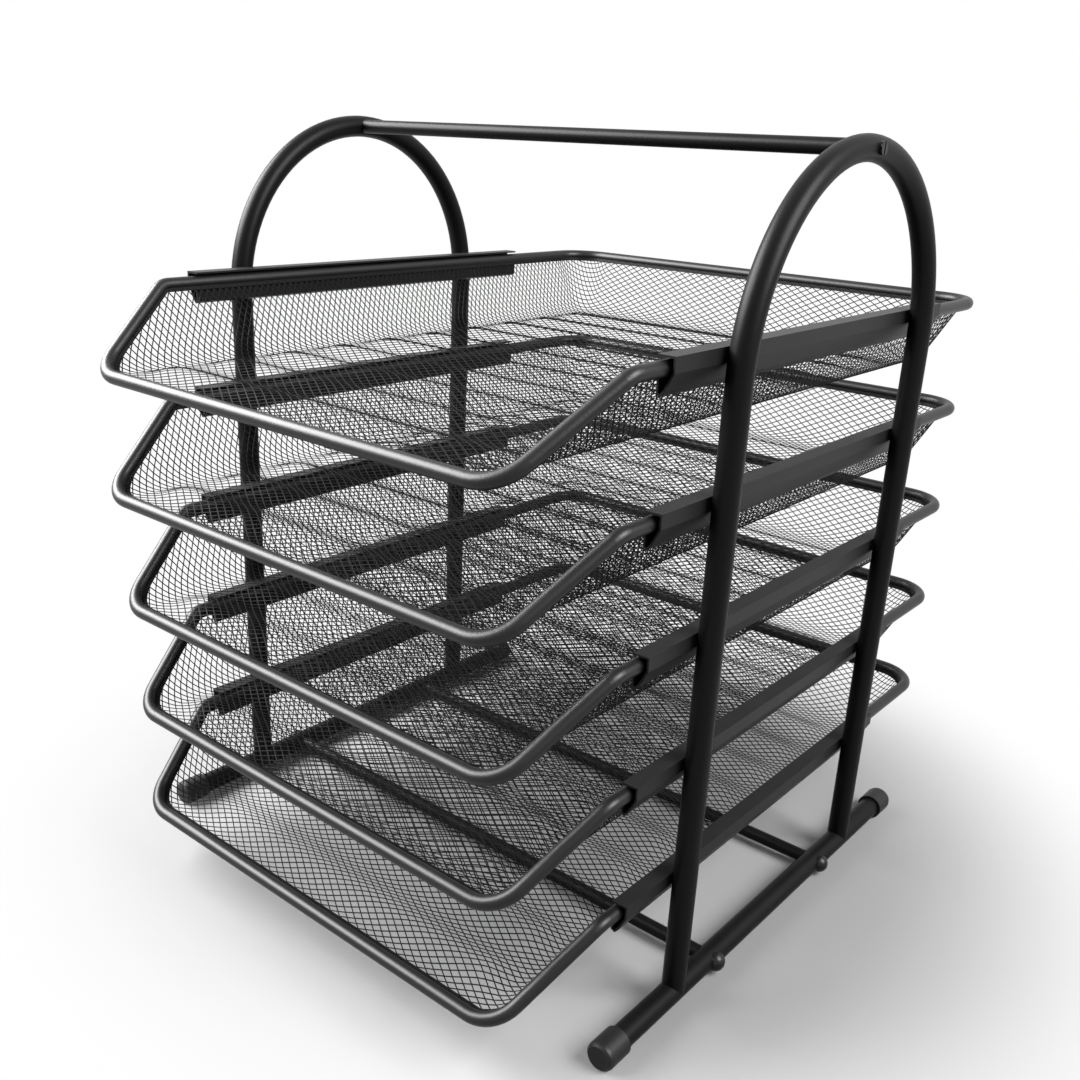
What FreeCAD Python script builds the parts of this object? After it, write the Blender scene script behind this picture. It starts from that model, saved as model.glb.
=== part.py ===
import FreeCAD, Part
import math
import os

# Desktop file sorter: five mesh trays that slide in runners between two arched tube frames.
# Millimetres. +Z is up, and +X is the right side as seen from the front, which faces -Y.
# The origin is on the desk, in the middle of the object's width and depth.

V = FreeCAD.Vector
X_AXIS = V(1, 0, 0)
Y_AXIS = V(0, 1, 0)

# Fits and clearances
weld_gap = 0.05
slip_gap = 0.10
runner_gap = 0.30
runner_top_gap = 0.90
stop_gap = 0.30

# Side frames
post_diameter = 10.0
post_wall = 1.0
frame_half_width = 137.2
leg_half_spacing = 77.2
top_runner_rise = 7.7
sleeve_length = 36.0
sleeve_wall = 1.0

# Base tubes and their caps
base_diameter = 10.0
base_wall = 1.0
base_overhang = 50.5
cap_depth = 11.0
cap_face = 2.2
cap_wall = 1.2
cap_taper = 0.35
cap_edge = 0.9
cap_dome = 0.5
cap_flat = 0.2

# Handle and crossbars
bar_diameter = 6.4
bar_wall = 0.8
crossbar_inset = 27.7
insert_length = 12.0

# Fasteners
bolt_shank = 2.6
bolt_head_diameter = 8.6
bolt_head_height = 3.2
bolt_grip = 8.0
screw_shank = 2.6
screw_grip = 8.0
screw_head_diameter = 5.2
screw_head_height = 1.6
screw_recess = 0.6
slot_width = 0.9
slot_depth = 0.6

# Trays, counted from the lowest, and how far each stands out of its closed place
tray_count = 5
tray_pitch = 53.0
lowest_rim_height = 58.4
tray_width = 254.4
tray_depth = 346.4
tray_pulls = [6.4, 7.2, 9.6, 13.3, 13.4]
front_width = 222.0
rim_diameter = 5.8
front_drop = 31.6
slope_run = 43.2
front_corner_radius = 16.4
rear_corner_radius = 19.0
rim_bend_radius = 9.0

# Mesh pans
pan_sheet = 0.6
pan_depth = 31.2
pan_edge_overlap = 0.9
pan_edge_drop = 0.6
pan_bend_radius = 14.0
rib_count = 9
rib_spacing = 33.0
rib_first = 26.0
rib_width = 5.0
rib_height = 1.6
rib_end_inset = 30.0

# Runners
runner_front_reach = 33.3
runner_rear_reach = 34.1
runner_sheet = 0.8
runner_flange = 6.2
web_straight = 4.6
web_slant_run = 3.2
web_slant_drop = 6.2
heel_run = 1.2
heel_drop = 1.4
lip_rise = 0.4
lip_set_in = 1.0

post_radius = post_diameter / 2
base_radius = base_diameter / 2
bar_radius = bar_diameter / 2
rim_radius = rim_diameter / 2
cap_radius = base_radius + slip_gap + cap_wall
base_height = cap_radius - cap_flat
base_half_length = leg_half_spacing + base_overhang
crossbar_half_spacing = leg_half_spacing - crossbar_inset
top_rim_height = lowest_rim_height + (tray_count - 1) * tray_pitch
arch_centre_height = top_rim_height - top_runner_rise
crown_height = arch_centre_height + leg_half_spacing
side_rim_x = tray_width / 2
front_rim_y = -tray_depth / 2
front_lean = side_rim_x - front_width / 2
slope_heading = V(-front_lean, -slope_run, -front_drop).normalize()
bend_setback = rim_bend_radius * math.tan(slope_heading.getAngle(V(0, -1, 0)) / 2)
pan_draft = front_lean * pan_depth / front_drop
runner_front = -leg_half_spacing - runner_front_reach
runner_rear = leg_half_spacing + runner_rear_reach
closed_y = runner_front + tray_depth / 2 - slope_run - bend_setback - stop_gap
pan_edge_inset = rim_radius - pan_edge_overlap
standing_pulls = [tray_pulls[index % len(tray_pulls)] for index in range(tray_count)]
depth_middle = closed_y - (min(standing_pulls) + max(standing_pulls)) / 2


def rod(start, end, radius):
    """Solid round bar from one point to another."""
    run = end.sub(start)
    return Part.makeCylinder(radius, run.Length, start, run)


def tube(start, end, radius, wall):
    """Hollow round tube from one point to another."""
    return rod(start, end, radius).cut(rod(start, end, radius - wall))


def bend(centre, start, axis, degrees, radius):
    """Solid round bar swept about an axis through centre, from the point start."""
    heading = axis.cross(start.sub(centre))
    disc = Part.Face(Part.Wire(Part.makeCircle(radius, start, heading)))
    return disc.revolve(centre, axis, degrees)


def join(solids):
    """One clean solid from pieces that meet face to face."""
    return solids[0].fuse(solids[1:]).removeSplitter()


def main_solid(shape):
    """The largest solid of a shape."""
    return max(shape.Solids, key=lambda solid: solid.Volume)


def polygon_face(points):
    """Flat face with straight edges."""
    return Part.Face(Part.makePolygon(points + [points[0]]))


def outline(curves):
    """Closed wire from lines and arcs that follow each other."""
    return Part.Wire([curve.toShape() for curve in curves])


def left_of(shape):
    """The left-hand copy of a right-hand shape."""
    return shape.mirror(V(0, 0, 0), X_AXIS)


def rear_of(shape):
    """The rear copy of a shape made for the front."""
    return shape.mirror(V(0, 0, 0), Y_AXIS)


def both_sides(shapes):
    """The right-hand solids and their left-hand copies, as one group of separate solids."""
    return Part.makeCompound(shapes + [left_of(shape) for shape in shapes])


# Side frames

def along_x(y, z, radius):
    """Bar along X through a right-hand tube, longer than the tube is wide."""
    reach = post_diameter + base_diameter
    return rod(V(frame_half_width - reach, y, z), V(frame_half_width + reach, y, z), radius)


def along_y(z, radius):
    """Bar along Y on the centre line of the right-hand base tube, or above it."""
    return rod(V(frame_half_width, -base_half_length, z), V(frame_half_width, base_half_length, z), radius)


def arch_half_bar(radius, foot_height):
    """Front leg with a quarter of the arch, as a solid bar."""
    leg_top = V(frame_half_width, -leg_half_spacing, arch_centre_height)
    foot = V(frame_half_width, -leg_half_spacing, foot_height)
    centre = V(frame_half_width, 0, arch_centre_height)
    quarter = bend(centre, leg_top, V(-1, 0, 0), 90, radius)
    return join([rod(foot, leg_top, radius), quarter])


def arch_front_half():
    """Hollow leg with a quarter of the arch, coped over the base tube."""
    outer = arch_half_bar(post_radius, base_height)
    bore = arch_half_bar(post_radius - post_wall, 0)
    saddle = along_y(base_height, base_radius + weld_gap)
    screw_hole = along_x(0, crown_height, screw_shank / 2 + slip_gap)
    screw_seat = rod(V(frame_half_width + post_radius - screw_recess, 0, crown_height),
                     V(frame_half_width + post_diameter, 0, crown_height),
                     screw_head_diameter / 2 + slip_gap)
    seam = Part.makeBox(post_diameter * 2, weld_gap, post_diameter * 2,
                        V(frame_half_width - post_diameter, -weld_gap / 2, crown_height - post_diameter))
    return main_solid(outer.cut([bore, saddle, screw_hole, screw_seat, seam]))


def crown_sleeve():
    """Short curved sleeve inside the two arch halves where they meet."""
    radius = post_radius - post_wall - slip_gap
    angle = math.degrees(sleeve_length / leg_half_spacing)
    centre = V(frame_half_width, 0, arch_centre_height)
    crown = V(frame_half_width, 0, crown_height)
    sleeve = bend(centre, crown, X_AXIS, angle, radius)
    sleeve = sleeve.cut(bend(centre, crown, X_AXIS, angle, radius - sleeve_wall))
    sleeve.rotate(centre, X_AXIS, -angle / 2)
    return main_solid(sleeve.cut(along_x(0, crown_height, screw_shank / 2 + slip_gap)))


def base_tube():
    """Straight tube on the desk, drilled through for the crossbar bolts."""
    body = along_y(base_height, base_radius).cut(along_y(base_height, base_radius - base_wall))
    holes = [along_x(y, base_height, bolt_shank / 2 + slip_gap)
             for y in (-crossbar_half_spacing, crossbar_half_spacing)]
    return main_solid(body.cut(holes))


def end_cap():
    """Front slip-over cap: a turned cup with a domed face and a narrow flat to stand on."""
    bore = base_radius + slip_gap
    seat_y = -base_half_length - slip_gap
    mouth_y = seat_y + cap_depth
    face_y = seat_y - cap_face
    shoulder = cap_radius - cap_taper
    points = [V(0, seat_y, 0), V(bore, seat_y, 0), V(bore, mouth_y, 0), V(cap_radius, mouth_y, 0),
              V(cap_radius, seat_y, 0), V(shoulder, face_y + cap_edge, 0), V(shoulder - cap_edge, face_y, 0),
              V(0, face_y - cap_dome, 0)]
    cap = polygon_face(points).revolve(V(0, 0, 0), Y_AXIS, 360)
    cap.translate(V(frame_half_width, 0, base_height))
    below_desk = Part.makeBox(cap_radius * 2, cap_depth * 4, cap_radius,
                              V(frame_half_width - cap_radius, mouth_y - cap_depth * 3, -cap_radius))
    return main_solid(cap.cut(below_desk))


# Handle and crossbars

def cross_bar(y, z, seat_radius):
    """Tube between the side frames, coped to the tube that it meets at each end."""
    bar = tube(V(-frame_half_width, y, z), V(frame_half_width, y, z), bar_radius, bar_wall)
    reach = bar_diameter
    seat = rod(V(frame_half_width, y - reach, z), V(frame_half_width, y + reach, z), seat_radius + slip_gap)
    return main_solid(bar.cut([seat, left_of(seat)]))


def thread_insert(y, z, seat_radius, shank):
    """Threaded plug just inside the right-hand end of a bar."""
    end_x = frame_half_width - seat_radius - slip_gap
    start = V(end_x - insert_length, y, z)
    end = V(end_x, y, z)
    body = rod(start, end, bar_radius - bar_wall - weld_gap)
    return main_solid(body.cut(rod(start, end, shank / 2 + weld_gap)))


def crossbar_bolt(y):
    """Dome-head bolt through the base tube into the crossbar's insert."""
    rim_x = frame_half_width + math.sqrt(base_radius ** 2 - (bolt_head_diameter / 2) ** 2)
    top_x = frame_half_width + base_radius + bolt_head_height
    radius = bolt_head_diameter / 2
    height = top_x - rim_x
    ball = (radius ** 2 + height ** 2) / (2 * height)
    dome = Part.makeSphere(ball, V(top_x - ball, y, base_height))
    block = rod(V(rim_x, y, base_height), V(top_x, y, base_height), radius)
    head = dome.common(block).cut(along_y(base_height, base_radius + weld_gap))
    tip_x = frame_half_width - base_radius - bolt_grip
    shank = rod(V(tip_x, y, base_height), V(frame_half_width + base_radius + weld_gap * 2, y, base_height),
                bolt_shank / 2)
    return main_solid(join([head, shank]))


def handle_screw():
    """Slotted screw, sunk in the crown, that runs into the handle's insert."""
    seat_x = frame_half_width + post_radius - screw_recess + weld_gap
    top_x = seat_x + screw_head_height
    tip_x = frame_half_width - post_radius - screw_grip
    head = rod(V(seat_x, 0, crown_height), V(top_x, 0, crown_height), screw_head_diameter / 2)
    shank = rod(V(tip_x, 0, crown_height), V(seat_x, 0, crown_height), screw_shank / 2)
    slot = Part.makeBox(slot_depth, slot_width, screw_head_diameter,
                        V(top_x - slot_depth, -slot_width / 2, crown_height - screw_head_diameter / 2))
    return main_solid(join([head, shank]).cut(slot))


# Tray rims. A tray's own origin is at its middle, level with its side rods.

def rounded_corner(point, heading_in, heading_out, radius):
    """Start, end, centre, axis and degrees of the arc that rounds a corner."""
    turn = heading_in.getAngle(heading_out)
    setback = radius * math.tan(turn / 2)
    inward = heading_out.sub(heading_in).normalize()
    centre = point.add(inward * (radius / math.cos(turn / 2)))
    start = point.sub(heading_in * setback)
    end = point.add(heading_out * setback)
    return start, end, centre, heading_in.cross(heading_out), math.degrees(turn)


def rim_rod(radius):
    """Closed rim: level sides and rear, a slope down and inwards at each side, and a low front."""
    place = V(0, tray_depth / 2, 0)
    heading = V(1, 0, 0)
    turns = [
        (V(side_rim_x, tray_depth / 2, 0), V(0, -1, 0), rear_corner_radius),
        (V(side_rim_x, front_rim_y + slope_run, 0), slope_heading, rim_bend_radius),
        (V(front_width / 2, front_rim_y, -front_drop), V(-1, 0, 0), front_corner_radius),
    ]
    right = []
    for point, next_heading, corner_radius in turns:
        start, end, centre, axis, degrees = rounded_corner(point, heading, next_heading, corner_radius)
        right.append(rod(place, start, radius))
        right.append(bend(centre, start, axis, degrees, radius))
        place = end
        heading = next_heading
    right.append(rod(place, V(0, front_rim_y, -front_drop), radius))
    return main_solid(join(right + [left_of(piece) for piece in right]))


# Mesh pans

def level_outline(half_x, rear_y, corner, z):
    """Level outline with rounded rear corners that runs out past the front."""
    front_y = front_rim_y - slope_run
    c = corner * (1 - math.sqrt(0.5))
    p = [V(-half_x, front_y, z), V(half_x, front_y, z), V(half_x, rear_y - corner, z),
         V(half_x - corner, rear_y, z), V(-half_x + corner, rear_y, z), V(-half_x, rear_y - corner, z)]
    return outline([Part.LineSegment(p[0], p[1]), Part.LineSegment(p[1], p[2]),
                    Part.Arc(p[2], V(half_x - c, rear_y - c, z), p[3]), Part.LineSegment(p[3], p[4]),
                    Part.Arc(p[4], V(-half_x + c, rear_y - c, z), p[5]), Part.LineSegment(p[5], p[0])])


def drawn_form(shrink):
    """Tapered block with rounded rear corners and rounded bottom edges."""
    half_x = side_rim_x - pan_edge_inset - shrink
    rear_y = tray_depth / 2 - pan_edge_inset - shrink
    corner = rear_corner_radius - pan_edge_inset - shrink
    floor_z = -pan_depth + shrink
    bottom = level_outline(half_x - pan_draft, rear_y - pan_draft, corner, floor_z)
    form = Part.makeLoft([bottom, level_outline(half_x, rear_y, corner, 0)], True, True)
    edges = [edge for edge in form.Edges
             if abs(edge.BoundBox.ZMax - floor_z) < weld_gap and edge.BoundBox.YMax > front_rim_y]
    return form.makeFillet(pan_bend_radius - shrink, edges)


def above_rim():
    """Everything above the pan's edge: level over the sides, slanted over the front."""
    reach = tray_depth
    bend_y = front_rim_y + slope_run
    low_y = bend_y - slope_run * 2
    points = [V(-reach, reach, 0), V(-reach, bend_y, 0), V(-reach, low_y, -front_drop * 2),
              V(-reach, low_y, reach), V(-reach, reach, reach)]
    block = polygon_face(points).extrude(V(reach * 2, 0, 0))
    block.translate(V(0, 0, -pan_edge_drop))
    return block


def ribs(rise):
    """Shallow round ribs side by side from front to rear, raised from the pan's underside by rise."""
    radius = (rib_width ** 2 / 4 + rib_height ** 2) / (2 * rib_height)
    z = rise - pan_depth + rib_height - radius
    half = side_rim_x - rib_end_inset + rise
    places = [front_rim_y + rib_first + i * rib_spacing for i in range(rib_count)]
    return [rod(V(-half, y, z), V(half, y, z), radius) for y in places]


def pan_shell():
    """Drawn mesh pan as a sheet: walls, rounded corners, ribbed floor and an edge on the rim."""
    outside = drawn_form(0).cut(ribs(0))
    inside = drawn_form(pan_sheet).cut(ribs(pan_sheet))
    shell = outside.cut(inside).cut(above_rim())
    return main_solid(shell.cut(rim_rod(rim_radius + weld_gap)))


# Runners

def runner_section():
    """Inner face of the folded channel, right side: (x, z) from the rim's centre line."""
    web_x = frame_half_width - post_radius - weld_gap - runner_sheet
    top_z = rim_radius + runner_top_gap
    slant_z = top_z - web_straight
    foot_x = web_x - web_slant_run
    foot_z = slant_z - web_slant_drop
    heel_z = foot_z - heel_drop
    lip_x = side_rim_x - lip_set_in
    lip_z = -math.sqrt((rim_radius + runner_gap) ** 2 - lip_set_in ** 2)
    return [(web_x - runner_flange, top_z), (web_x, top_z), (web_x, slant_z), (foot_x, foot_z),
            (foot_x - heel_run, heel_z), (lip_x, heel_z + lip_rise), (lip_x, lip_z)]


def runner(height):
    """Channel folded from sheet that holds the rim's side rod from outside and below."""
    path = Part.makePolygon([V(x, runner_front, height + z) for x, z in runner_section()])
    section = path.makeOffset2D(runner_sheet, 2, True, True, False)
    return main_solid(section.extrude(V(0, runner_rear - runner_front, 0)))


def placed(shape, index):
    """A tray piece moved to its tray's height and to how far that tray stands out."""
    moved = shape.copy()
    moved.translate(V(0, closed_y - standing_pulls[index], lowest_rim_height + index * tray_pitch))
    return moved


nodes = {}
arch = arch_front_half()
cap = end_cap()
side_pieces = {
    "arch_front_tube": arch,
    "arch_rear_tube": rear_of(arch),
    "crown_sleeve": crown_sleeve(),
    "base_tube": base_tube(),
    "front_end_cap": cap,
    "rear_end_cap": rear_of(cap),
}
for name, shape in side_pieces.items():
    nodes["right_" + name] = shape
    nodes["left_" + name] = left_of(shape)

nodes["handle_bar"] = cross_bar(0, crown_height, post_radius)
nodes["handle_screws"] = both_sides([handle_screw()])
nodes["handle_inserts"] = both_sides([thread_insert(0, crown_height, post_radius, screw_shank)])
nodes["front_crossbar"] = cross_bar(-crossbar_half_spacing, base_height, base_radius)
nodes["rear_crossbar"] = cross_bar(crossbar_half_spacing, base_height, base_radius)
bar_places = (-crossbar_half_spacing, crossbar_half_spacing)
nodes["crossbar_bolts"] = both_sides([crossbar_bolt(y) for y in bar_places])
nodes["crossbar_inserts"] = both_sides([thread_insert(y, base_height, base_radius, bolt_shank)
                                        for y in bar_places])

rim = rim_rod(rim_radius)
pan = pan_shell()
for index in range(tray_count):
    number = tray_count - index
    rail = runner(lowest_rim_height + index * tray_pitch)
    nodes["right_runner_%d" % number] = rail
    nodes["left_runner_%d" % number] = left_of(rail)
    nodes["tray_%d_rim" % number] = placed(rim, index)
    nodes["tray_%d_pan" % number] = placed(pan, index)

os.makedirs("parts", exist_ok=True)
for name, shape in nodes.items():
    shape.translate(V(0, -depth_middle, 0))
    shape.exportStep("parts/%s.step" % name)
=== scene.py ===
"""Desktop file sorter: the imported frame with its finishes, and the expanded-metal trays."""

import math

import bmesh
import bpy
from mathutils import Matrix, Vector


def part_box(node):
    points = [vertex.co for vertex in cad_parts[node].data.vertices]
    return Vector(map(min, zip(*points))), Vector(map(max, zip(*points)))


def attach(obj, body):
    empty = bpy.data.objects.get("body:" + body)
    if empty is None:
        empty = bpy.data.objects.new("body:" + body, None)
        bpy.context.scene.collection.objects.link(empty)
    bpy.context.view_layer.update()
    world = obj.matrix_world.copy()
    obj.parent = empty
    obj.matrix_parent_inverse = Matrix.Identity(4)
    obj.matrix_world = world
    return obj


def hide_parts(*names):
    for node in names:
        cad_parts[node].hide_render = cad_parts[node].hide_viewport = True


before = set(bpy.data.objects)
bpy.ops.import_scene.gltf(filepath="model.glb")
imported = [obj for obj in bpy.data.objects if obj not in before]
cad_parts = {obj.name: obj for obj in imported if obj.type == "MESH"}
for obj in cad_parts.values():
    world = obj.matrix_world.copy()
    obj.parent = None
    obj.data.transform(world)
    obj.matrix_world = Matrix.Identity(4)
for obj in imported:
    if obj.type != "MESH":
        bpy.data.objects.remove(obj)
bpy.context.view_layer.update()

TRAYS = (1, 2, 3, 4, 5)
SIDES = ("left", "right")

# Camera, from the vanishing lines of the photograph, in metres
CAMERA_PLACE = Vector((0.3277, -0.42788, 0.3383))
CAMERA_FORWARD = Vector((-0.59092, 0.72358, -0.35671))
CAMERA_RIGHT = Vector((0.76372, 0.64421, 0.04160))
FOCAL_LENGTH = 38.04
SENSOR_WIDTH = 36.0
SHIFT_X = 0.01485
SHIFT_Y = 0.03065
CLIP_START = 0.01

# Tray rim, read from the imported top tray
RIM_LOW, RIM_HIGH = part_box("tray_1_rim")
RIM_RADIUS = 0.0029
SIDE_X = RIM_HIGH.x - RIM_RADIUS
FRONT_Y = RIM_LOW.y + RIM_RADIUS
REAR_Y = RIM_HIGH.y - RIM_RADIUS
TOP_Z = RIM_HIGH.z - RIM_RADIUS
FRONT_DROP = TOP_Z - (RIM_LOW.z + RIM_RADIUS)
SLOPE_RUN = 0.0432
SLOPE_ANGLE = math.atan2(FRONT_DROP, SLOPE_RUN)
FRONT_LEAN = 0.0162
REAR_CORNER = 0.019

# Expanded-metal pan
CELL_LENGTH = 0.0058
CELL_WIDTH = 0.0034
STRAND_WIDTH = 0.00045
STRAND_THICKNESS = 0.0002
CELL_INNER_RADIUS = CELL_LENGTH * CELL_WIDTH / 2 / math.hypot(CELL_LENGTH, CELL_WIDTH)
OPENING_SHARE = 1 - STRAND_WIDTH / 2 / CELL_INNER_RADIUS
EDGE_INSET = 0.002
EDGE_DROP = 0.0006
HEM_WIDTH = 0.0022
HEM_SHEET = 0.0005
WALL_HEIGHT = 0.0312
WALL_DRAFT = FRONT_LEAN * WALL_HEIGHT / FRONT_DROP
BEND_RADIUS = 0.014
RIB_COUNT = 10
RIB_SPACING = 0.0306
RIB_FIRST = 0.0218
RIB_HEIGHT = 0.0034
RIB_FADE = 0.012

# The wall's profile: an arc off the floor, then a straight lean
WALL_LEAN = math.atan2(WALL_DRAFT, WALL_HEIGHT)
BEND_TURN = math.pi / 2 - WALL_LEAN
BEND_LENGTH = BEND_RADIUS * BEND_TURN
BEND_REACH = BEND_RADIUS * math.sin(BEND_TURN)
BEND_RISE = BEND_RADIUS * (1 - math.cos(BEND_TURN))
STRAIGHT_LENGTH = (WALL_HEIGHT - BEND_RISE) / math.cos(WALL_LEAN)
WALL_LENGTH = BEND_LENGTH + STRAIGHT_LENGTH
WALL_REACH = BEND_REACH + STRAIGHT_LENGTH * math.sin(WALL_LEAN)
FLOOR_X = SIDE_X - EDGE_INSET - WALL_REACH
FLOOR_REAR = REAR_Y - EDGE_INSET - WALL_REACH
FLOOR_Z = TOP_Z - WALL_HEIGHT
CORNER_OFFSET = WALL_REACH + EDGE_INSET - REAR_CORNER
CUT_TOLERANCE = 1e-7

# Floor paper, world and lamps
WHITE = (1, 1, 1, 1)
FLOOR_RADIUS = 6.0
FLOOR_SEGMENTS = 96
# Dark grey paper colour near the object: painted shade under it, on top of the real shadow; it
# fades to plain white between the two distances below.
PAINTED_SHADE_GREY = (0.25, 0.25, 0.25, 1)
PAINTED_SHADE_FADE_START = 0.16
PAINTED_SHADE_FADE_END = 0.32
WORLD_FILL = 0.2
MIDDLE = (0.0, 0.0, 0.15)
KEY_PLACE = (-0.95, -0.6, 0.95)
KEY_WIDTH = 1.3
KEY_HEIGHT = 0.8
KEY_POWER = 95.0
FILL_PLACE = (1.1, 0.2, 1.0)
FILL_WIDTH = 0.8
FILL_POWER = 40.0

# Powder coat
PAINT_BLACK = (0.002, 0.002, 0.0022)
RUNNER_BLACK = (0.007, 0.007, 0.0075)
FITTING_BLACK = (0.006, 0.006, 0.0063)
ZINC_GREY = (0.5, 0.5, 0.5)
DUST_GREY = (0.10, 0.10, 0.10, 1)
PAINT_IOR = 1.4
PAINT_SHINE = 0.3
GRAIN_SCALE = 3500.0
GRAIN_HEIGHT = 0.35
GRAIN_GLOSS = 0.12
RELIEF_DEPTH = 0.0001
DUST_FROM_SLOPE = 0.2
DUST_PATCH_SCALE = 60.0


# Camera, floor and light

def aim(thing, place, target):
    """Puts a lamp at a place, facing a target."""
    thing.location = place
    thing.rotation_euler = (Vector(target) - Vector(place)).to_track_quat("-Z", "Y").to_euler()


def make_camera():
    data = bpy.data.cameras.new("photo_camera")
    data.sensor_width = SENSOR_WIDTH
    data.lens = FOCAL_LENGTH
    data.shift_x = SHIFT_X
    data.shift_y = SHIFT_Y
    data.clip_start = CLIP_START
    camera = bpy.data.objects.new("photo_camera", data)
    bpy.context.scene.collection.objects.link(camera)
    back = -CAMERA_FORWARD.normalized()
    right = (CAMERA_RIGHT - CAMERA_RIGHT.dot(back) * back).normalized()
    up = back.cross(right)
    turn = Matrix((right, up, back)).transposed().to_4x4()
    camera.matrix_world = Matrix.Translation(CAMERA_PLACE) @ turn
    bpy.context.scene.camera = camera


def softbox(name, place, target, width, height, power):
    data = bpy.data.lights.new(name, "AREA")
    data.shape = "RECTANGLE"
    data.size = width
    data.size_y = height
    data.energy = power
    lamp = bpy.data.objects.new(name, data)
    bpy.context.scene.collection.objects.link(lamp)
    aim(lamp, place, target)


def seen_directly(tree):
    """1 where a ray comes from the camera, a reflection or glass."""
    nodes, links = tree.nodes, tree.links
    path = nodes.new("ShaderNodeLightPath")
    first = nodes.new("ShaderNodeMath")
    first.operation = "MAXIMUM"
    links.new(path.outputs["Is Camera Ray"], first.inputs[0])
    links.new(path.outputs["Is Glossy Ray"], first.inputs[1])
    second = nodes.new("ShaderNodeMath")
    second.operation = "MAXIMUM"
    links.new(first.outputs[0], second.inputs[0])
    links.new(path.outputs["Is Transmission Ray"], second.inputs[1])
    return second.outputs[0]


def make_world(fill):
    world = bpy.data.worlds.new("studio")
    world.use_nodes = True
    tree = world.node_tree
    tree.nodes.clear()
    plain = tree.nodes.new("ShaderNodeBackground")
    plain.inputs["Color"].default_value = WHITE
    plain.inputs["Strength"].default_value = fill
    white = tree.nodes.new("ShaderNodeBackground")
    white.inputs["Color"].default_value = WHITE
    white.inputs["Strength"].default_value = 1.0
    mix = tree.nodes.new("ShaderNodeMixShader")
    out = tree.nodes.new("ShaderNodeOutputWorld")
    tree.links.new(seen_directly(tree), mix.inputs["Fac"])
    tree.links.new(plain.outputs[0], mix.inputs[1])
    tree.links.new(white.outputs[0], mix.inputs[2])
    tree.links.new(mix.outputs[0], out.inputs["Surface"])
    bpy.context.scene.world = world


def floor_paper_with_painted_shade():
    """Paper that keeps the object's real shadow and fades to plain white away from it; near the
    object it is dark grey, a painted shade that deepens the shadow under the object.
    """
    material = bpy.data.materials.new("floor_paper_with_painted_shade")
    material.use_nodes = True
    tree = material.node_tree
    nodes, links = tree.nodes, tree.links
    nodes.clear()
    place = nodes.new("ShaderNodeTexCoord")
    length = nodes.new("ShaderNodeVectorMath")
    length.operation = "LENGTH"
    links.new(place.outputs["Object"], length.inputs[0])
    fade = nodes.new("ShaderNodeMapRange")
    fade.interpolation_type = "SMOOTHSTEP"
    fade.inputs["From Min"].default_value = PAINTED_SHADE_FADE_START
    fade.inputs["From Max"].default_value = PAINTED_SHADE_FADE_END
    links.new(length.outputs["Value"], fade.inputs["Value"])
    seen = nodes.new("ShaderNodeMath")
    seen.operation = "MULTIPLY"
    links.new(fade.outputs[0], seen.inputs[0])
    links.new(seen_directly(tree), seen.inputs[1])
    # Dark grey diffuse paper near the object: painted shade that deepens the real shadow under
    # it.
    paper = nodes.new("ShaderNodeBsdfDiffuse")
    paper.inputs["Color"].default_value = PAINTED_SHADE_GREY
    white = nodes.new("ShaderNodeEmission")
    white.inputs["Strength"].default_value = 1.0
    mix = nodes.new("ShaderNodeMixShader")
    out = nodes.new("ShaderNodeOutputMaterial")
    links.new(seen.outputs[0], mix.inputs["Fac"])
    links.new(paper.outputs[0], mix.inputs[1])
    links.new(white.outputs[0], mix.inputs[2])
    links.new(mix.outputs[0], out.inputs["Surface"])
    return material


def make_floor():
    sheet = bmesh.new()
    bmesh.ops.create_circle(sheet, cap_ends=True, radius=FLOOR_RADIUS, segments=FLOOR_SEGMENTS)
    data = bpy.data.meshes.new("floor")
    sheet.to_mesh(data)
    sheet.free()
    data.materials.append(floor_paper_with_painted_shade())
    floor = bpy.data.objects.new("floor", data)
    bpy.context.scene.collection.objects.link(floor)


# Finishes

def group_socket(group, name, direction, kind, value=None):
    socket = group.interface.new_socket(name=name, in_out=direction, socket_type=kind)
    if value is not None:
        socket.default_value = value


def orange_peel_group():
    """Low ripples and fine grain of powder coat, and the change of gloss that goes with them."""
    group = bpy.data.node_groups.new("orange_peel", "ShaderNodeTree")
    group_socket(group, "Vector", "INPUT", "NodeSocketVector")
    group_socket(group, "Ripple Scale", "INPUT", "NodeSocketFloat", 700.0)
    group_socket(group, "Grain Scale", "INPUT", "NodeSocketFloat", GRAIN_SCALE)
    group_socket(group, "Roughness", "INPUT", "NodeSocketFloat", 0.4)
    group_socket(group, "Height", "OUTPUT", "NodeSocketFloat")
    group_socket(group, "Roughness", "OUTPUT", "NodeSocketFloat")
    nodes, links = group.nodes, group.links
    inside = nodes.new("NodeGroupInput")
    outside = nodes.new("NodeGroupOutput")
    ripple = nodes.new("ShaderNodeTexNoise")
    ripple.inputs["Detail"].default_value = 2.0
    links.new(inside.outputs["Vector"], ripple.inputs["Vector"])
    links.new(inside.outputs["Ripple Scale"], ripple.inputs["Scale"])
    grain = nodes.new("ShaderNodeTexNoise")
    grain.inputs["Detail"].default_value = 3.0
    links.new(inside.outputs["Vector"], grain.inputs["Vector"])
    links.new(inside.outputs["Grain Scale"], grain.inputs["Scale"])
    blend = nodes.new("ShaderNodeMath")
    blend.operation = "MULTIPLY_ADD"
    blend.inputs[1].default_value = GRAIN_HEIGHT
    links.new(grain.outputs["Fac"], blend.inputs[0])
    links.new(ripple.outputs["Fac"], blend.inputs[2])
    links.new(blend.outputs[0], outside.inputs["Height"])
    gloss = nodes.new("ShaderNodeMath")
    gloss.operation = "MULTIPLY_ADD"
    gloss.inputs[1].default_value = GRAIN_GLOSS
    links.new(grain.outputs["Fac"], gloss.inputs[0])
    links.new(inside.outputs["Roughness"], gloss.inputs[2])
    links.new(gloss.outputs[0], outside.inputs["Roughness"])
    return group


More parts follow.
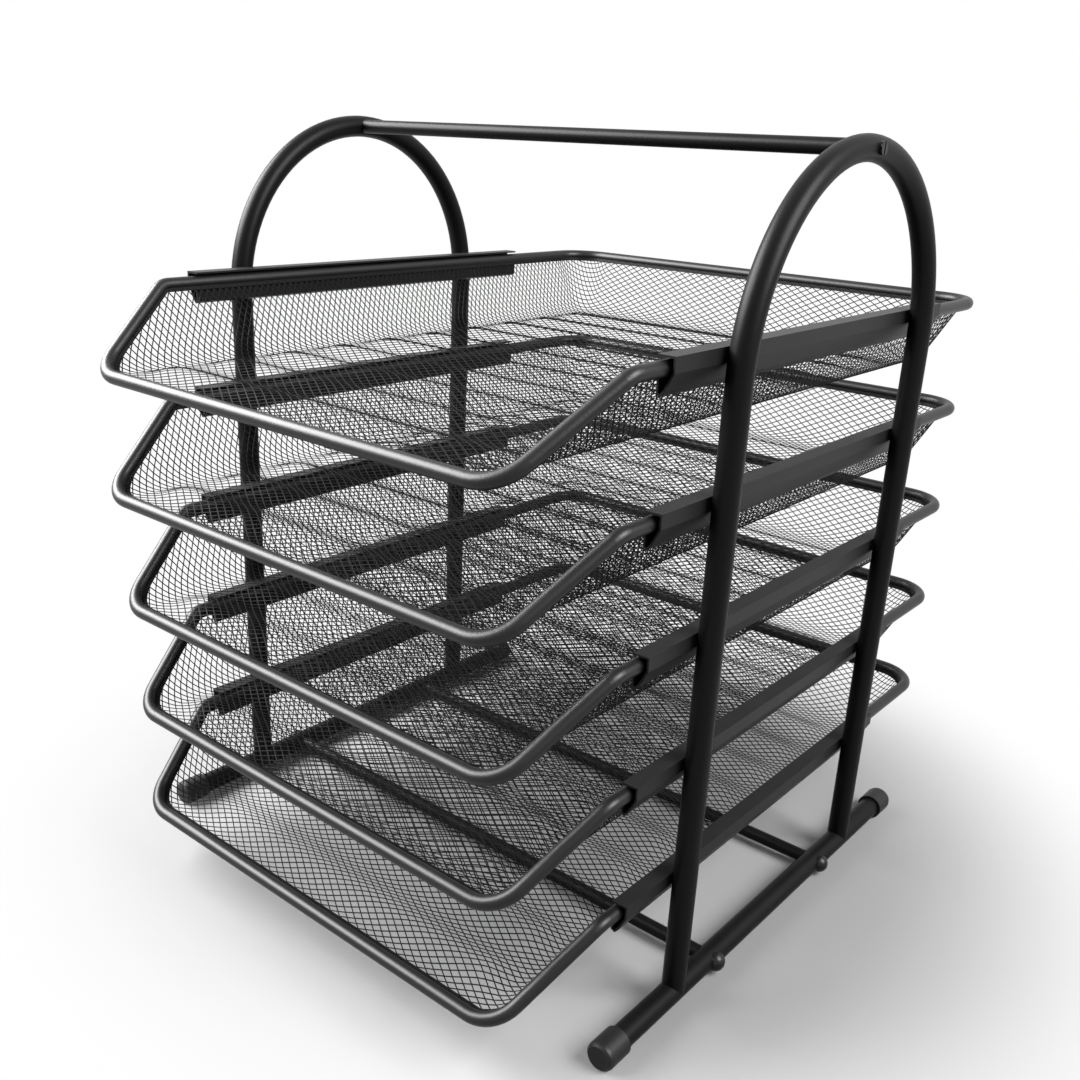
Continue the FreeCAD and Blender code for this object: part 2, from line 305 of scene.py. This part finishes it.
def settled_dust_group():
    """A thin uneven veil of dust on what faces up."""
    group = bpy.data.node_groups.new("settled_dust", "ShaderNodeTree")
    group_socket(group, "Vector", "INPUT", "NodeSocketVector")
    group_socket(group, "Paint", "INPUT", "NodeSocketColor", (0.01, 0.01, 0.011, 1))
    group_socket(group, "Dust", "INPUT", "NodeSocketColor", DUST_GREY)
    group_socket(group, "Amount", "INPUT", "NodeSocketFloat", 0.06)
    group_socket(group, "Color", "OUTPUT", "NodeSocketColor")
    nodes, links = group.nodes, group.links
    inside = nodes.new("NodeGroupInput")
    outside = nodes.new("NodeGroupOutput")
    surface = nodes.new("ShaderNodeNewGeometry")
    split = nodes.new("ShaderNodeSeparateXYZ")
    links.new(surface.outputs["Normal"], split.inputs[0])
    upward = nodes.new("ShaderNodeMapRange")
    upward.inputs["From Min"].default_value = DUST_FROM_SLOPE
    upward.inputs["From Max"].default_value = 1.0
    links.new(split.outputs["Z"], upward.inputs["Value"])
    patches = nodes.new("ShaderNodeTexNoise")
    patches.inputs["Scale"].default_value = DUST_PATCH_SCALE
    patches.inputs["Detail"].default_value = 5.0
    links.new(inside.outputs["Vector"], patches.inputs["Vector"])
    cover = nodes.new("ShaderNodeMath")
    cover.operation = "MULTIPLY"
    links.new(upward.outputs[0], cover.inputs[0])
    links.new(patches.outputs["Fac"], cover.inputs[1])
    share = nodes.new("ShaderNodeMath")
    share.operation = "MULTIPLY"
    links.new(cover.outputs[0], share.inputs[0])
    links.new(inside.outputs["Amount"], share.inputs[1])
    mix = nodes.new("ShaderNodeMix")
    mix.data_type = "RGBA"
    links.new(share.outputs[0], mix.inputs["Factor"])
    links.new(inside.outputs["Paint"], mix.inputs[6])
    links.new(inside.outputs["Dust"], mix.inputs[7])
    links.new(mix.outputs[2], outside.inputs["Color"])
    return group


def powder_coat(name, colour, roughness, ripple, relief, dust, shine=PAINT_SHINE):
    """A coated surface: colour with dust, gloss and relief from the shared groups."""
    material = bpy.data.materials.new(name)
    material.use_nodes = True
    nodes, links = material.node_tree.nodes, material.node_tree.links
    shader = nodes["Principled BSDF"]
    shader.inputs["IOR"].default_value = PAINT_IOR
    shader.inputs["Specular IOR Level"].default_value = shine
    place = nodes.new("ShaderNodeTexCoord")
    peel = nodes.new("ShaderNodeGroup")
    peel.node_tree = ORANGE_PEEL
    peel.inputs["Ripple Scale"].default_value = ripple
    peel.inputs["Roughness"].default_value = roughness
    links.new(place.outputs["Object"], peel.inputs["Vector"])
    veil = nodes.new("ShaderNodeGroup")
    veil.node_tree = SETTLED_DUST
    veil.inputs["Paint"].default_value = (*colour, 1)
    veil.inputs["Amount"].default_value = dust
    links.new(place.outputs["Object"], veil.inputs["Vector"])
    bump = nodes.new("ShaderNodeBump")
    bump.inputs["Strength"].default_value = relief
    bump.inputs["Distance"].default_value = RELIEF_DEPTH
    links.new(peel.outputs["Height"], bump.inputs["Height"])
    links.new(bump.outputs["Normal"], shader.inputs["Normal"])
    links.new(peel.outputs["Roughness"], shader.inputs["Roughness"])
    links.new(veil.outputs["Color"], shader.inputs["Base Color"])
    return material


# Expanded-metal trays

def wall_profile(distance):
    """How far out and up the sheet has gone, at a distance along it past the flat floor."""
    if distance <= BEND_LENGTH:
        turn = distance / BEND_RADIUS
        return BEND_RADIUS * math.sin(turn), BEND_RADIUS * (1 - math.cos(turn))
    run = distance - BEND_LENGTH
    return BEND_REACH + run * math.sin(WALL_LEAN), BEND_RISE + run * math.cos(WALL_LEAN)


def rib_rise(x, y):
    """Height of the pressed ribs, which follow each other as one soft wave across the floor."""
    along = (y - FRONT_Y - RIB_FIRST) / RIB_SPACING
    if not -0.5 < along < RIB_COUNT - 0.5:
        return 0.0
    fade = min(max((FLOOR_X - abs(x)) / RIB_FADE, 0.0), 1.0)
    return RIB_HEIGHT * fade * (0.5 + 0.5 * math.cos(2 * math.pi * along))


def corner_reach(heading_x, heading_y):
    """How far the wall's edge is from the floor's rear corner, along a heading."""
    if heading_y * WALL_REACH < heading_x * CORNER_OFFSET:
        return WALL_REACH / heading_x
    if heading_x * WALL_REACH < heading_y * CORNER_OFFSET:
        return WALL_REACH / heading_y
    along = CORNER_OFFSET * (heading_x + heading_y)
    radius = REAR_CORNER - EDGE_INSET
    return along + math.sqrt(along ** 2 - 2 * CORNER_OFFSET ** 2 + radius ** 2)


def drawn_place(point):
    """Where a point of the flat sheet goes when the sheet is drawn into a pan."""
    past_x = max(abs(point.x) - FLOOR_X, 0.0)
    past_y = max(point.y - FLOOR_REAR, 0.0)
    distance = math.hypot(past_x, past_y)
    x = min(abs(point.x), FLOOR_X)
    y = min(point.y, FLOOR_REAR)
    z = FLOOR_Z + rib_rise(x, y)
    if distance > 0:
        reach, rise = wall_profile(distance)
        heading_x = past_x / distance
        heading_y = past_y / distance
        reach *= corner_reach(heading_x, heading_y) / WALL_REACH
        x += reach * heading_x
        y += reach * heading_y
        z += rise
    return Vector((math.copysign(x, point.x), y, z))


def expanded_sheet():
    """Net of diamond cells, drawn into a pan that is still higher than its edge."""
    columns = 2 * math.ceil((FLOOR_X + WALL_LENGTH) / CELL_LENGTH)
    rows = math.ceil((FLOOR_REAR + WALL_LENGTH - FRONT_Y) / CELL_WIDTH)
    net = bmesh.new()
    bmesh.ops.create_grid(net, x_segments=columns, y_segments=rows, size=0.5)
    bmesh.ops.scale(net, vec=(columns * CELL_LENGTH, rows * CELL_WIDTH, 1), verts=net.verts)
    bmesh.ops.translate(net, vec=(0, FRONT_Y + rows * CELL_WIDTH / 2, 0), verts=net.verts)
    squares = [edge for edge in net.edges if not edge.is_boundary]
    bmesh.ops.poke(net, faces=net.faces)
    bmesh.ops.dissolve_edges(net, edges=squares)
    for vert in net.verts:
        vert.co = drawn_place(vert.co)
    return net


def edge_planes(inset):
    """Planes that bound the pan under the rim: level over the sides, slanted over the front."""
    slant = Vector((0, -math.sin(SLOPE_ANGLE), math.cos(SLOPE_ANGLE)))
    level = Vector((0, 0, TOP_Z - EDGE_DROP - inset))
    slanted = Vector((0, FRONT_Y + SLOPE_RUN, TOP_Z - EDGE_DROP)) - slant * inset
    return [(level, Vector((0, 0, 1))), (slanted, slant)]


def cut(net, plane, clear):
    point, normal = plane
    geometry = net.verts[:] + net.edges[:] + net.faces[:]
    bmesh.ops.bisect_plane(net, geom=geometry, dist=CUT_TOLERANCE, plane_co=point,
                           plane_no=normal, clear_outer=clear)


def trimmed_sheet():
    net = expanded_sheet()
    for plane in edge_planes(0.0):
        cut(net, plane, True)
    return net


def delete_faces(net, wanted):
    faces = [face for face in net.faces if not wanted(face.calc_center_median())]
    bmesh.ops.delete(net, geom=faces, context="FACES")


def on_floor(point):
    return abs(point.x) < FLOOR_X and point.y < FLOOR_REAR


def net_of_strands(wanted):
    """The strands round the diamonds of one part of the pan."""
    net = trimmed_sheet()
    delete_faces(net, wanted)
    cells = net.faces[:]
    bmesh.ops.inset_individual(net, faces=cells, thickness=0.0)
    for cell in cells:
        middle = cell.calc_center_median()
        for vert in cell.verts:
            vert.co = middle + (vert.co - middle) * OPENING_SHARE
    bmesh.ops.delete(net, geom=cells, context="FACES")
    bmesh.ops.solidify(net, geom=net.faces, thickness=STRAND_THICKNESS)
    return net


def hem():
    """Solid band of sheet left along the edge, where the pan goes under the rim."""
    band = trimmed_sheet()
    inner = edge_planes(HEM_WIDTH)
    for plane in inner:
        cut(band, plane, False)
    delete_faces(band, lambda point: any((point - co).dot(normal) > 0 for co, normal in inner))
    bmesh.ops.solidify(band, geom=band.faces, thickness=HEM_SHEET)
    return band


def tray_piece(shape, name, number, material):
    """One part of a pan, moved from the top tray to tray number."""
    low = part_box("tray_%d_rim" % number)[0]
    data = bpy.data.meshes.new(name)
    shape.to_mesh(data)
    data.transform(Matrix.Translation(low - RIM_LOW))
    data.materials.append(material)
    piece = bpy.data.objects.new(name, data)
    bpy.context.scene.collection.objects.link(piece)
    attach(piece, "tray_%d" % number)
    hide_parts("tray_%d_pan" % number)
    return piece


def make_pans(material):
    shapes = {
        "mesh_floor": net_of_strands(on_floor),
        "mesh_walls": net_of_strands(lambda point: not on_floor(point)),
        "mesh_hem": hem(),
    }
    for number in TRAYS:
        for part, shape in shapes.items():
            tray_piece(shape, "tray_%d_%s" % (number, part), number, material)
    for shape in shapes.values():
        shape.free()


def dress(node, material):
    """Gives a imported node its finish."""
    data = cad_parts[node].data
    data.materials.clear()
    data.materials.append(material)


ORANGE_PEEL = orange_peel_group()
SETTLED_DUST = settled_dust_group()
tube_paint = powder_coat("tube_paint", PAINT_BLACK, roughness=0.34, ripple=700.0,
                         relief=0.35, dust=0.05, shine=0.13)
runner_paint = powder_coat("runner_paint", RUNNER_BLACK, roughness=0.38, ripple=900.0,
                           relief=0.35, dust=0.08, shine=0.2)
rim_paint = powder_coat("rim_paint", PAINT_BLACK, roughness=0.34, ripple=700.0,
                        relief=0.35, dust=0.05, shine=0.42)
mesh_paint = powder_coat("mesh_paint", PAINT_BLACK, roughness=0.5, ripple=1500.0,
                         relief=0.2, dust=0.03, shine=0.12)
cap_plastic = powder_coat("cap_plastic", FITTING_BLACK, roughness=0.38, ripple=2200.0,
                          relief=0.3, dust=0.1)
bolt_black = powder_coat("bolt_black", FITTING_BLACK, roughness=0.25, ripple=1200.0,
                         relief=0.2, dust=0.05)
bright_steel = powder_coat("insert_steel", ZINC_GREY, roughness=0.3, ripple=1500.0,
                           relief=0.2, dust=0.1)
bright_steel.node_tree.nodes["Principled BSDF"].inputs["Metallic"].default_value = 1.0

for side in SIDES:
    for part in ("arch_front_tube", "arch_rear_tube", "base_tube"):
        dress("%s_%s" % (side, part), tube_paint)
    for part in ("front_end_cap", "rear_end_cap", "crown_sleeve"):
        dress("%s_%s" % (side, part), cap_plastic)
    for number in TRAYS:
        dress("%s_runner_%d" % (side, number), runner_paint)
for part in ("handle_bar", "front_crossbar", "rear_crossbar"):
    dress(part, tube_paint)
for part in ("handle_screws", "crossbar_bolts"):
    dress(part, bolt_black)
for part in ("handle_inserts", "crossbar_inserts"):
    dress(part, bright_steel)
for number in TRAYS:
    dress("tray_%d_rim" % number, rim_paint)
    dress("tray_%d_pan" % number, mesh_paint)
make_pans(mesh_paint)

make_camera()
make_floor()
make_world(WORLD_FILL)
softbox("key_left", KEY_PLACE, MIDDLE, KEY_WIDTH, KEY_HEIGHT, KEY_POWER)
softbox("fill_right", FILL_PLACE, MIDDLE, FILL_WIDTH, FILL_WIDTH, FILL_POWER)

view = bpy.context.scene.view_settings
view.view_transform = "Standard"
